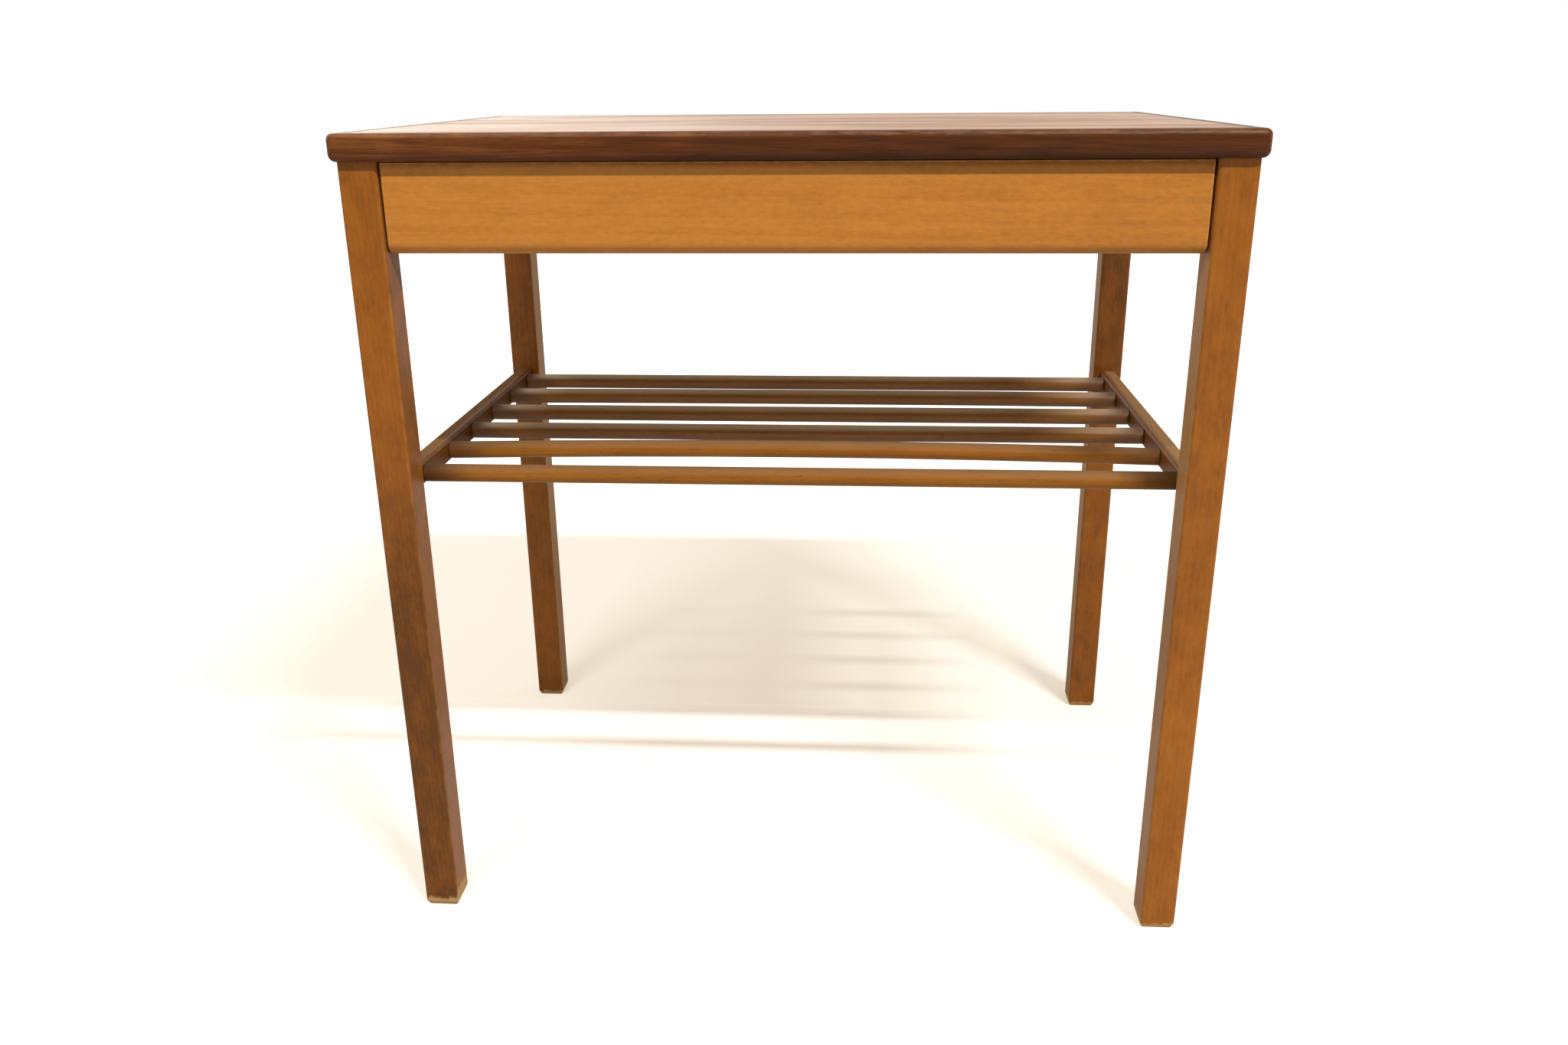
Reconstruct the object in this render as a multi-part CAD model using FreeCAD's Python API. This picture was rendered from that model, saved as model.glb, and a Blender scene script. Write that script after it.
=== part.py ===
import FreeCAD, Part
import os

# A small bedside table: a dark veneered top on four square legs, one shallow
# drawer hung on side runners, and a magazine shelf of round rods lower down.
# Millimetres. X runs to the right, the drawer front faces -Y, Z is up, and the
# origin is on the floor under the middle of the top.

# Overall size
overall_width = 500.0
overall_depth = 337.0
overall_height = 495.0

# Top board: a flat core, a veneer on each face and solid strips round the edge
top_thickness = 15.0
side_overhang = 3.5
front_overhang = 5.0
lipping_width = 10.0
veneer_thickness = 0.9
top_corner_rounding = 5.0
top_upper_rounding = 3.5
top_lower_rounding = 4.0

# Legs
leg_size = 22.0
leg_edge_rounding = 2.0
foot_bevel_height = 3.5
foot_bevel_inset = 1.7
foot_corner_rounding = 1.2

# Aprons, and the strips that join them to the top
apron_height = 50.0
apron_thickness = 16.0
apron_inset = 2.0
apron_edge_rounding = 1.0
strip_thickness = 12.0
front_strip_width = 34.0
front_strip_gap = 0.5
back_strip_width = 14.0
back_strip_end_gap = 20.0
glue_block_width = 12.0
glue_block_length = 40.0
glue_block_place_share = 0.21

# Drawer front
front_thickness = 16.0
front_setback = 2.0
front_side_gap = 1.0
front_top_gap = 0.5
front_top_rounding = 0.4
front_lower_rounding = 6.5
front_edge_rounding = 1.0
finger_lip = 7.0

# Drawer box
drawer_side_thickness = 11.0
drawer_side_gap = 4.0
drawer_top_gap = 1.5
drawer_edge_rounding = 0.8
drawer_back_thickness = 10.0
drawer_back_drop = 3.0
drawer_back_housing = 3.0
drawer_front_housing = 6.0
drawer_bottom_thickness = 4.0
drawer_bottom_lift = 4.0
drawer_bottom_groove = 4.0

# Drawer runners and stops
runner_height = 9.0
runner_lift = 15.5
runner_groove_depth = 5.5
runner_side_clearance = 0.5
runner_under_clearance = 0.7
runner_end_gap = 1.0
stop_width = 24.0
stop_height = 14.0
stop_length = 16.0
stop_place_share = 0.3

# Shelf
shelf_height = 292.0
rail_width = 12.0
rail_height = 14.0
rail_edge_rounding = 2.5
rod_diameter = 11.0
rod_count = 6
rod_end_gap = 16.5
rod_tenon_diameter = 7.0
rod_tenon_length = 8.0
rod_shoulder_bevel = 0.5
# How far each rod has bowed upwards, front rod first, as a share of its diameter
rod_bow_shares = (0.0, 0.27, 0.0, 0.0, 0.05, 0.0)

# Dowels, screws and nails
dowel_diameter = 6.0
dowel_length = 24.0
dowel_leg_depth = 13.0
dowel_end_bevel = 0.8
side_dowel_drop_shares = (0.2, 0.86)
back_dowel_drop_shares = (0.42, 0.64)
screw_length = 22.0
screw_diameter = 3.5
screw_head_diameter = 7.0
screw_head_height = 2.4
screw_tip_length = 4.0
screw_slot_width = 0.9
screw_slot_depth = 1.0
top_screw_place_shares = (-0.3, 0.0, 0.3)
runner_screw_place_shares = (-0.33, 0.33)
nail_length = 16.0
nail_diameter = 1.6
nail_head_diameter = 3.6
nail_head_height = 0.8
nail_place_shares = (-0.35, 0.0, 0.35)

# Fits
seat_gap = 0.3
joint_clearance = 0.1
hole_clearance = 0.05
hole_end_gap = 0.3
cut_overrun = 5.0

# Places worked out from the sizes above
top_underside = overall_height - top_thickness
leg_outer_x = overall_width / 2 - side_overhang
leg_outer_y = overall_depth / 2 - front_overhang
leg_inner_x = leg_outer_x - leg_size
leg_inner_y = leg_outer_y - leg_size
leg_centre_x = leg_outer_x - leg_size / 2
leg_centre_y = leg_outer_y - leg_size / 2

apron_bottom = top_underside - apron_height
apron_outer_x = leg_outer_x - apron_inset
apron_inner_x = apron_outer_x - apron_thickness
apron_centre_x = apron_outer_x - apron_thickness / 2
apron_outer_y = leg_outer_y - apron_inset
apron_inner_y = apron_outer_y - apron_thickness
apron_centre_y = apron_outer_y - apron_thickness / 2

strip_underside = top_underside - strip_thickness
drawer_face_y = -leg_outer_y + front_setback
drawer_front_back_y = drawer_face_y + front_thickness
front_strip_y = max(drawer_front_back_y, -leg_inner_y) + front_strip_gap
back_strip_y = apron_inner_y - back_strip_width

drawer_end_y = apron_inner_y - stop_length - seat_gap
drawer_side_outer_x = leg_inner_x - drawer_side_gap
drawer_side_inner_x = drawer_side_outer_x - drawer_side_thickness
drawer_box_bottom = apron_bottom + finger_lip
drawer_box_top = strip_underside - drawer_top_gap
drawer_panel_bottom = drawer_box_bottom + drawer_bottom_lift
drawer_panel_top = drawer_panel_bottom + drawer_bottom_thickness

groove_floor_x = drawer_side_outer_x - runner_groove_depth
runner_inner_x = groove_floor_x + runner_side_clearance
runner_bottom = drawer_box_bottom + runner_lift
runner_top = runner_bottom + runner_height
runner_end_y = leg_inner_y - runner_end_gap

rail_inner_x = leg_centre_x - rail_width / 2
rail_outer_x = leg_centre_x + rail_width / 2
first_rod_y = -leg_inner_y + rod_end_gap
rod_spacing = -first_rod_y * 2 / (rod_count - 1)
dowel_rail_depth = dowel_length - dowel_leg_depth

along_x = FreeCAD.Vector(1, 0, 0)
along_y = FreeCAD.Vector(0, 1, 0)
along_z = FreeCAD.Vector(0, 0, 1)


def point(x, y, z):
    return FreeCAD.Vector(x, y, z)


def block(low, high):
    """A box between two opposite corners."""
    size = high - low
    return Part.makeBox(size.x, size.y, size.z, low)


def round_edges(shape, radius, wanted):
    """Round the straight edges that wanted(middle, direction) picks."""
    picked = []
    for edge in shape.Edges:
        ends = [vertex.Point for vertex in edge.Vertexes]
        if len(ends) < 2 or not isinstance(edge.Curve, Part.Line):
            continue
        middle = (ends[0] + ends[1]) * 0.5
        direction = (ends[1] - ends[0]).normalize()
        if wanted(middle, direction):
            picked.append(edge)
    return shape.makeFillet(radius, picked)


def runs_along(direction, axis):
    return abs(abs(direction.dot(axis)) - 1) < 1e-6


def near(first, second):
    """Whether two places are the same, to a small share of the table's height."""
    same_place_share = 1e-6
    return abs(first - second) < overall_height * same_place_share


def mirror_x(shape):
    return shape.mirror(point(0, 0, 0), along_x)


def save(name, shape):
    shape.exportStep(os.path.join("parts", name + ".step"))


def dowel(start, axis):
    """A dowel from its end at start, with both ends bevelled."""
    radius = dowel_diameter / 2
    pin = Part.makeCylinder(radius, dowel_length, start, axis)
    ends = [edge for edge in pin.Edges if edge.Closed]
    return pin.makeChamfer(dowel_end_bevel, ends)


def dowel_hole(mouth, axis, depth):
    """A hole that runs from its mouth along axis, a little deeper than the dowel."""
    radius = dowel_diameter / 2 + hole_clearance
    return Part.makeCylinder(radius, depth + hole_end_gap, mouth, axis)


def screw(seat, axis):
    """A countersunk wood screw, its head flush at seat and its tip along axis."""
    shank_radius = screw_diameter / 2
    head = Part.makeCone(screw_head_diameter / 2, shank_radius, screw_head_height, seat, axis)
    straight = screw_length - screw_head_height - screw_tip_length
    shank = Part.makeCylinder(shank_radius, straight, seat + axis * screw_head_height, axis)
    tip_seat = seat + axis * (screw_length - screw_tip_length)
    tip = Part.makeCone(shank_radius, 0, screw_tip_length, tip_seat, axis)
    slot_along = along_y if abs(axis.z) > abs(axis.x) else along_z
    across = axis.cross(slot_along)
    reach = screw_head_diameter / 2 + cut_overrun
    corner = seat - slot_along * reach - across * (screw_slot_width / 2) - axis * cut_overrun
    slot_end = (corner + slot_along * (reach * 2) + across * screw_slot_width
                + axis * (cut_overrun + screw_slot_depth))
    low = point(min(corner.x, slot_end.x), min(corner.y, slot_end.y), min(corner.z, slot_end.z))
    high = point(max(corner.x, slot_end.x), max(corner.y, slot_end.y), max(corner.z, slot_end.z))
    return head.fuse(shank).fuse(tip).removeSplitter().cut(block(low, high))


def screw_hole(seat, axis):
    """The countersink, shank hole and pilot hole that one screw needs."""
    shank_radius = screw_diameter / 2 + hole_clearance
    mouth_radius = screw_head_diameter / 2 + hole_clearance
    sink = Part.makeCone(mouth_radius, shank_radius, screw_head_height, seat, axis)
    hole = Part.makeCylinder(shank_radius, screw_length + hole_end_gap, seat, axis)
    return sink.fuse(hole)


# Dowel places: (mouth at the face between the two pieces, direction into the leg or apron)
def side_apron_dowels():
    places = []
    for share in side_dowel_drop_shares:
        height = top_underside - apron_height * share
        for side in (-1, 1):
            for end in (-1, 1):
                mouth = point(side * apron_centre_x, end * leg_inner_y, height)
                places.append((mouth, along_y * end))
    return places


def back_apron_dowels():
    places = []
    for share in back_dowel_drop_shares:
        height = top_underside - apron_height * share
        for side in (-1, 1):
            mouth = point(side * leg_inner_x, apron_centre_y, height)
            places.append((mouth, along_x * side))
    return places


def front_strip_dowels():
    height = top_underside - strip_thickness / 2
    middle_y = front_strip_y + front_strip_width / 2
    return [(point(side * apron_inner_x, middle_y, height), along_x * side) for side in (-1, 1)]


def shelf_rail_dowels():
    places = []
    for side in (-1, 1):
        for end in (-1, 1):
            mouth = point(side * leg_centre_x, end * leg_inner_y, shelf_height)
            places.append((mouth, along_y * end))
    return places


def holes_into(places):
    """Holes on the side that the direction points to: the leg, or the side apron."""
    return [dowel_hole(mouth, axis, dowel_leg_depth) for mouth, axis in places]


def holes_out_of(places):
    """Holes on the other side of the same joints: the apron's, strip's or rail's end."""
    return [dowel_hole(mouth, axis * -1, dowel_rail_depth) for mouth, axis in places]


def top_screw_seats():
    """Screw seats under the front strip and the back strip, all pointing up."""
    rows = (front_strip_y + front_strip_width / 2, back_strip_y + back_strip_width / 2)
    seats = []
    for y in rows:
        for share in top_screw_place_shares:
            seats.append(point(share * overall_width, y, strip_underside))
    return seats


# Top board
def top_blank():
    """The whole board with its corners, upper edge and lower edge rounded."""
    half_width = overall_width / 2
    half_depth = overall_depth / 2
    blank = block(point(-half_width, -half_depth, top_underside),
                  point(half_width, half_depth, overall_height))
    blank = round_edges(blank, top_corner_rounding, lambda middle, way: runs_along(way, along_z))

    def rim(shape, height):
        return [edge for edge in shape.Edges
                if all(near(vertex.Z, height) for vertex in edge.Vertexes)]

    blank = blank.makeFillet(top_upper_rounding, rim(blank, overall_height))
    return blank.makeFillet(top_lower_rounding, rim(blank, top_underside))


def top_layer(bottom, top):
    """A flat layer of the board inside the edge strips, drilled for the fixing screws."""
    half_width = overall_width / 2 - lipping_width
    half_depth = overall_depth / 2 - lipping_width
    layer = block(point(-half_width, -half_depth, bottom), point(half_width, half_depth, top))
    holes = [screw_hole(seat, along_z) for seat in top_screw_seats()]
    return layer.cut(holes)


def mitre_wedge(side_y):
    """The part of the board in front of or behind the mitre planes at its corners."""
    half_width = overall_width / 2
    half_depth = overall_depth / 2
    drop = lipping_width + cut_overrun
    outer = side_y * (half_depth + cut_overrun)
    inner = side_y * (half_depth - drop)
    low = top_underside - cut_overrun
    points = [point(-half_width - cut_overrun, outer, low),
              point(half_width + cut_overrun, outer, low),
              point(half_width - drop, inner, low),
              point(-half_width + drop, inner, low)]
    face = Part.Face(Part.makePolygon(points + points[:1]))
    return face.extrude(along_z * (top_thickness + cut_overrun * 2))


def make_top():
    core_bottom = top_underside + veneer_thickness
    core_top = overall_height - veneer_thickness
    save("top_core", top_layer(core_bottom, core_top))
    save("top_backing_veneer", top_layer(top_underside, core_bottom))
    save("top_face_veneer", top_layer(core_top, overall_height))

    half_width = overall_width / 2 - lipping_width
    half_depth = overall_depth / 2 - lipping_width
    inside = block(point(-half_width, -half_depth, top_underside - cut_overrun),
                   point(half_width, half_depth, overall_height + cut_overrun))
    ring = top_blank().cut(inside)
    save("top_lipping_front", ring.common(mitre_wedge(-1)))
    save("top_lipping_back", ring.common(mitre_wedge(1)))
    ends = ring.cut([mitre_wedge(-1), mitre_wedge(1)])
    for solid in ends.Solids:
        side = "left" if solid.CenterOfMass.x < 0 else "right"
        save("top_lipping_" + side, solid)


# Legs
def rounded_square(size, radius, height):
    """A closed wire: a square with rounded corners about the origin, at height."""
    half = size / 2
    flat = half - radius
    bulge = flat + radius * 0.5 ** 0.5
    edges = []
    corners = ((1, 1), (-1, 1), (-1, -1), (1, -1))
    for index, (sx, sy) in enumerate(corners):
        if index % 2 == 0:
            start, end = (sx * half, sy * flat), (sx * flat, sy * half)
        else:
            start, end = (sx * flat, sy * half), (sx * half, sy * flat)
        middle = (sx * bulge, sy * bulge)
        arc = Part.Arc(point(*start, height), point(*middle, height), point(*end, height))
        edges.append(arc.toShape())
        next_x, next_y = corners[(index + 1) % len(corners)]
        if index % 2 == 0:
            following = (next_x * flat, next_y * half)
        else:
            following = (next_x * half, next_y * flat)
        edges.append(Part.LineSegment(point(*end, height), point(*following, height)).toShape())
    return Part.Wire(edges)


def make_legs():
    """Four square legs with softened edges and a worn bevel round each foot."""
    foot = rounded_square(leg_size - foot_bevel_inset * 2, foot_corner_rounding, 0)
    ankle = rounded_square(leg_size, leg_edge_rounding, foot_bevel_height)
    head = rounded_square(leg_size, leg_edge_rounding, top_underside)
    worn_foot = Part.makeLoft([foot, ankle], True, True)
    shaft = Part.makeLoft([ankle, head], True, True)
    plain_leg = worn_foot.fuse(shaft).removeSplitter()

    dowels = side_apron_dowels() + back_apron_dowels() + shelf_rail_dowels()
    holes = holes_into(dowels)
    for end, end_name in ((-1, "front"), (1, "back")):
        for side, side_name in ((-1, "left"), (1, "right")):
            leg = plain_leg.copy()
            leg.translate(point(side * leg_centre_x, end * leg_centre_y, 0))
            save("leg_" + end_name + "_" + side_name, leg.cut(holes))


# Aprons and the strips and blocks under the top
def soften_lower_edges(shape, bottom, axis):
    return round_edges(shape, apron_edge_rounding,
                       lambda middle, way: near(middle.z, bottom) and runs_along(way, axis))


def make_aprons():
    side_apron = block(point(apron_inner_x, -leg_inner_y, apron_bottom),
                       point(apron_outer_x, leg_inner_y, top_underside))
    side_apron = soften_lower_edges(side_apron, apron_bottom, along_y)
    holes = holes_out_of(side_apron_dowels()) + holes_into(front_strip_dowels())
    for seat, axis in runner_screw_seats(1):
        holes.append(screw_hole(seat, axis))
    side_apron = side_apron.cut(holes)
    save("apron_right", side_apron)
    save("apron_left", mirror_x(side_apron))

    back_apron = block(point(-leg_inner_x, apron_inner_y, apron_bottom),
                       point(leg_inner_x, apron_outer_y, top_underside))
    back_apron = soften_lower_edges(back_apron, apron_bottom, along_x)
    save("apron_back", back_apron.cut(holes_out_of(back_apron_dowels())))


def make_top_strips():
    """A strip behind the drawer front and one along the back apron, screwed to the top."""
    screw_holes = [screw_hole(seat, along_z) for seat in top_screw_seats()]
    front_strip = block(point(-apron_inner_x, front_strip_y, strip_underside),
                        point(apron_inner_x, front_strip_y + front_strip_width, top_underside))
    save("front_top_strip", front_strip.cut(screw_holes + holes_out_of(front_strip_dowels())))

    half_length = leg_inner_x - back_strip_end_gap
    back_strip = block(point(-half_length, back_strip_y, strip_underside),
                       point(half_length, apron_inner_y, top_underside))
    save("back_top_strip", back_strip.cut(screw_holes))

    glue_blocks = []
    for side in (-1, 1):
        for end in (-1, 1):
            middle_y = end * glue_block_place_share * overall_depth
            inner_x = side * (apron_inner_x - glue_block_width)
            low_x = min(inner_x, side * apron_inner_x)
            high_x = max(inner_x, side * apron_inner_x)
            glue_blocks.append(block(
                point(low_x, middle_y - glue_block_length / 2, strip_underside),
                point(high_x, middle_y + glue_block_length / 2, top_underside)))
    save("glue_blocks", Part.makeCompound(glue_blocks))


# Runners and stops
def runner_screw_seats(side):
    height = (runner_bottom + runner_top) / 2
    seats = []
    for share in runner_screw_place_shares:
        seats.append((point(side * runner_inner_x, share * overall_depth, height), along_x * side))
    return seats


def make_runners():
    """A runner screwed to each side apron; the groove in the drawer side rides on it."""
    runner = block(point(runner_inner_x, -runner_end_y, runner_bottom),
                   point(apron_inner_x, runner_end_y, runner_top))
    runner = round_edges(runner, drawer_edge_rounding,
                         lambda middle, way: near(middle.x, runner_inner_x) and runs_along(way, along_z))
    runner = runner.cut([screw_hole(seat, axis) for seat, axis in runner_screw_seats(1)])
    save("runner_right", runner)
    save("runner_left", mirror_x(runner))


def make_stops():
    """Two blocks on the back apron that the closed drawer comes up against."""
    middle_height = (drawer_panel_top + drawer_box_top) / 2
    stops = []
    for side in (-1, 1):
        middle_x = side * stop_place_share * overall_width
        stops.append(block(
            point(middle_x - stop_width / 2, apron_inner_y - stop_length, middle_height - stop_height / 2),
            point(middle_x + stop_width / 2, apron_inner_y, middle_height + stop_height / 2)))
    save("drawer_stops", Part.makeCompound(stops))


# Drawer
def make_drawer_front():
    """A plain front that hangs below the box, so that fingers hook behind its rounded edge."""
    half_width = leg_inner_x - front_side_gap
    front_top = top_underside - front_top_gap
    front = block(point(-half_width, drawer_face_y, apron_bottom),
                  point(half_width, drawer_front_back_y, front_top))

    def lower_face_edge(middle, way):
        return near(middle.y, drawer_face_y) and near(middle.z, apron_bottom)

    def face_end_edge(middle, way):
        return near(middle.y, drawer_face_y) and runs_along(way, along_z)

    def upper_face_edge(middle, way):
        return near(middle.y, drawer_face_y) and near(middle.z, front_top)

    def lower_back_edge(middle, way):
        return near(middle.y, drawer_front_back_y) and near(middle.z, apron_bottom)

    front = round_edges(front, front_lower_rounding, lower_face_edge)
    front = round_edges(front, front_edge_rounding, face_end_edge)
    front = round_edges(front, front_top_rounding, upper_face_edge)
    front = round_edges(front, front_edge_rounding, lower_back_edge)

    housings = []
    for side in (-1, 1):
        inner = side * (drawer_side_inner_x - joint_clearance)
        outer = side * (drawer_side_outer_x + joint_clearance)
        housings.append(block(
            point(min(inner, outer), drawer_front_back_y - drawer_front_housing - joint_clearance,
                  drawer_box_bottom - joint_clearance),
            point(max(inner, outer), drawer_front_back_y + cut_overrun,
                  drawer_box_top + joint_clearance)))
    panel_groove = block(
        point(-drawer_side_inner_x, drawer_front_back_y - drawer_bottom_groove,
              drawer_panel_bottom - joint_clearance),
        point(drawer_side_inner_x, drawer_front_back_y + cut_overrun,
              drawer_panel_top + joint_clearance))
    save("drawer_front", front.cut(housings + [panel_groove]))


def make_drawer_sides():
    """Sides housed in the front, grooved outside for the runner and inside for the bottom."""
    side = block(point(drawer_side_inner_x, drawer_front_back_y - drawer_front_housing, drawer_box_bottom),
                 point(drawer_side_outer_x, drawer_end_y, drawer_box_top))
    side = round_edges(side, drawer_edge_rounding,
                       lambda middle, way: near(middle.z, drawer_box_top) and runs_along(way, along_y))
    runner_groove = block(
        point(groove_floor_x, drawer_front_back_y, runner_bottom - runner_under_clearance),
        point(drawer_side_outer_x + cut_overrun, drawer_end_y + cut_overrun, runner_top + seat_gap))
    panel_groove = block(
        point(drawer_side_inner_x - cut_overrun, drawer_front_back_y - drawer_front_housing - cut_overrun,
              drawer_panel_bottom - joint_clearance),
        point(drawer_side_inner_x + drawer_bottom_groove, drawer_end_y + cut_overrun,
              drawer_panel_top + joint_clearance))
    back_rebate = block(
        point(drawer_side_inner_x - cut_overrun, drawer_end_y - drawer_back_thickness - joint_clearance,
              drawer_panel_top),
        point(drawer_side_inner_x + drawer_back_housing, drawer_end_y + cut_overrun,
              drawer_box_top - drawer_back_drop + joint_clearance))
    side = side.cut([runner_groove, panel_groove, back_rebate])
    save("drawer_side_right", side)
    save("drawer_side_left", mirror_x(side))


def nail_seats():
    """Nails go up through the bottom panel into the drawer back."""
    y = drawer_end_y - drawer_back_thickness / 2
    return [point(share * overall_width, y, drawer_panel_bottom) for share in nail_place_shares]


def nail_parts(seat, play):
    head = Part.makeCylinder(nail_head_diameter / 2 + play, nail_head_height, seat, along_z)
    shank = Part.makeCylinder(nail_diameter / 2 + play, nail_length + play, seat, along_z)
    return head.fuse(shank).removeSplitter()


def make_drawer_back():
    half_width = drawer_side_inner_x + drawer_back_housing - joint_clearance
    back = block(
        point(-half_width, drawer_end_y - drawer_back_thickness, drawer_panel_top + joint_clearance),
        point(half_width, drawer_end_y, drawer_box_top - drawer_back_drop))
    save("drawer_back", back.cut([nail_parts(seat, hole_clearance) for seat in nail_seats()]))


def make_drawer_bottom():
    """A thin panel in the grooves of the front and sides, nailed up to the back."""
    half_width = drawer_side_inner_x + drawer_bottom_groove - joint_clearance
    panel = block(
        point(-half_width, drawer_front_back_y - drawer_bottom_groove + joint_clearance,
              drawer_panel_bottom),
        point(half_width, drawer_end_y, drawer_panel_top))
    # The corners in front of the side grooves are cut away, beside the front's own groove
    for side in (-1, 1):
        inner = side * (drawer_side_inner_x - joint_clearance)
        outer = side * (half_width + cut_overrun)
        panel = panel.cut(block(
            point(min(inner, outer), drawer_front_back_y - drawer_bottom_groove - cut_overrun,
                  drawer_panel_bottom - cut_overrun),
            point(max(inner, outer), drawer_front_back_y + joint_clearance,
                  drawer_panel_top + cut_overrun)))
    panel = panel.cut([nail_parts(seat, hole_clearance) for seat in nail_seats()])
    save("drawer_bottom", panel)
    save("drawer_bottom_nails", Part.makeCompound([nail_parts(seat, 0) for seat in nail_seats()]))


# Shelf
def rod_places():
    return [first_rod_y + rod_spacing * index for index in range(rod_count)]


def make_shelf_rails():
    rail = block(point(rail_inner_x, -leg_inner_y, shelf_height - rail_height / 2),
                 point(rail_outer_x, leg_inner_y, shelf_height + rail_height / 2))
    rail = round_edges(rail, rail_edge_rounding, lambda middle, way: runs_along(way, along_y))
    sockets = []
    for y in rod_places():
        sockets.append(Part.makeCylinder(rod_tenon_diameter / 2 + hole_clearance,
                                         rod_tenon_length + hole_end_gap,
                                         point(rail_inner_x, y, shelf_height), along_x))
    rail = rail.cut(sockets + holes_out_of(shelf_rail_dowels()))
    save("shelf_rail_right", rail)
    save("shelf_rail_left", mirror_x(rail))


def bowed_bar(bow, y):
    """A round bar longer than the shelf's clear width, on an arc that rises in the middle."""
    reach = rail_inner_x + cut_overrun
    if bow <= 0:
        return Part.makeCylinder(rod_diameter / 2, reach * 2, point(-reach, y, shelf_height), along_x)
    arc = Part.Arc(point(-reach, y, shelf_height), point(0, y, shelf_height + bow),
                   point(reach, y, shelf_height))
    path = Part.Wire([arc.toShape()])
    start_way = arc.tangent(arc.FirstParameter)[0]
    ring = Part.makeCircle(rod_diameter / 2, point(-reach, y, shelf_height), start_way)
    return path.makePipeShell([Part.Wire([ring])], True, False)


def shelf_rod(bow, y):
    """A rod cut square between the rails, with a thinner tenon turned on each end."""
    rod_radius = rod_diameter / 2
    between = block(
        point(-rail_inner_x, y - rod_diameter, shelf_height - rod_diameter),
        point(rail_inner_x, y + rod_diameter, shelf_height + rod_diameter + bow))
    bar = bowed_bar(bow, y).common(between)
    bevel_keepers = []
    for side in (-1, 1):
        bevel_keepers.append(Part.makeCone(
            rod_radius - rod_shoulder_bevel, rod_diameter, rod_radius + rod_shoulder_bevel,
            point(side * rail_inner_x, y, shelf_height), along_x * -side))
    waist = rail_inner_x - rod_radius
    middle = block(point(-waist, y - rod_diameter, shelf_height - rod_diameter),
                   point(waist, y + rod_diameter, shelf_height + rod_diameter + bow))
    keeper = middle.fuse(bevel_keepers)
    rod = bar.common(keeper)
    for side in (-1, 1):
        start = point(side * (rail_inner_x - rod_radius), y, shelf_height)
        rod = rod.fuse(Part.makeCylinder(rod_tenon_diameter / 2, rod_radius + rod_tenon_length,
                                         start, along_x * side))
    return rod.removeSplitter()


def make_shelf_rods():
    for index, y in enumerate(rod_places()):
        bow_share = rod_bow_shares[index % len(rod_bow_shares)]
        save("shelf_rod_" + str(index + 1), shelf_rod(bow_share * rod_diameter, y))


# Dowels and screws
def make_fasteners():
    frame_places = side_apron_dowels() + back_apron_dowels() + front_strip_dowels()
    for name, places in (("frame_dowels", frame_places), ("shelf_dowels", shelf_rail_dowels())):
        pins = [dowel(mouth - axis * dowel_rail_depth, axis) for mouth, axis in places]
        save(name, Part.makeCompound(pins))
    save("top_screws", Part.makeCompound([screw(seat, along_z) for seat in top_screw_seats()]))
    runner_screws = []
    for side in (-1, 1):
        runner_screws += [screw(seat, axis) for seat, axis in runner_screw_seats(side)]
    save("runner_screws", Part.makeCompound(runner_screws))


os.makedirs("parts", exist_ok=True)
make_top()
make_legs()
make_aprons()
make_top_strips()
make_runners()
make_stops()
make_drawer_front()
make_drawer_sides()
make_drawer_back()
make_drawer_bottom()
make_shelf_rails()
make_shelf_rods()
make_fasteners()
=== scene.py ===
import math

import bpy
from mathutils import Matrix, Vector


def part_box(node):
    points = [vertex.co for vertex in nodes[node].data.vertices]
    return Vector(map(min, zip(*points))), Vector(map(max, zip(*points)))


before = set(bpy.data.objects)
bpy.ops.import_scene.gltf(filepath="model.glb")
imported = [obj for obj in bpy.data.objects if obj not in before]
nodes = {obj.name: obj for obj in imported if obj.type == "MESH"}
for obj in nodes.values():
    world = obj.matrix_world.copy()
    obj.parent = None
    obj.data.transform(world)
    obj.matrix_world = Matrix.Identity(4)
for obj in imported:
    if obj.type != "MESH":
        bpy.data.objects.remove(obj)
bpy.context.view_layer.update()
scene = bpy.context.scene


# The view
# The table is seen from a little over its own height, less than a metre in front of it and four
# centimetres right of its middle. The camera looks down on it through a fairly wide lens.
eye = Vector((0.0410208, -0.851307, 0.520506))
turned_left = 0.0654922
looking_down = 0.341113
leaning = -0.00848197
film_width = 36.0
lens_length = 28.677
nearest_seen = 0.01
quarter_turn = math.pi / 2

lens = bpy.data.cameras.new("view")
lens.sensor_width = film_width
lens.lens = lens_length
lens.clip_start = nearest_seen
camera = bpy.data.objects.new("view", lens)
camera.matrix_world = (
    Matrix.Translation(eye)
    @ Matrix.Rotation(turned_left, 4, "Z")
    @ Matrix.Rotation(quarter_turn - looking_down, 4, "X")
    @ Matrix.Rotation(leaning, 4, "Z")
)
scene.collection.objects.link(camera)
scene.camera = camera
scene.view_settings.view_transform = "Standard"


# The room's light
# Two long ceiling lamps hang in front of the table, one to each side, so each foot throws two
# soft shadows back along the floor. White walls fill in the rest and show in the lacquer.
lamp_places = (Vector((1.50, -1.95, 3.17)), Vector((-0.93, -1.95, 3.17)))
lamp_length = 1.10
lamp_width = 0.10
lamp_watts = (180.0, 58.0)
lamp_colour = (1.0, 0.98, 0.96)
lamp_tilt = math.radians(35.0)
wall_tint = (1.0, 0.965, 0.90)
white = (1.0, 1.0, 1.0)

# How much light comes from everywhere, and how much more from each side
wall_light = 0.16
front_fill = 0.16
ceiling_fill = 0.38
back_fill = 0.30
side_fill = 0.20

# How bright each wall looks in a glossy face
front_wall = 0.25
back_wall = 1.10
side_wall = 1.00
left_wall_gain = 1.20

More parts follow.
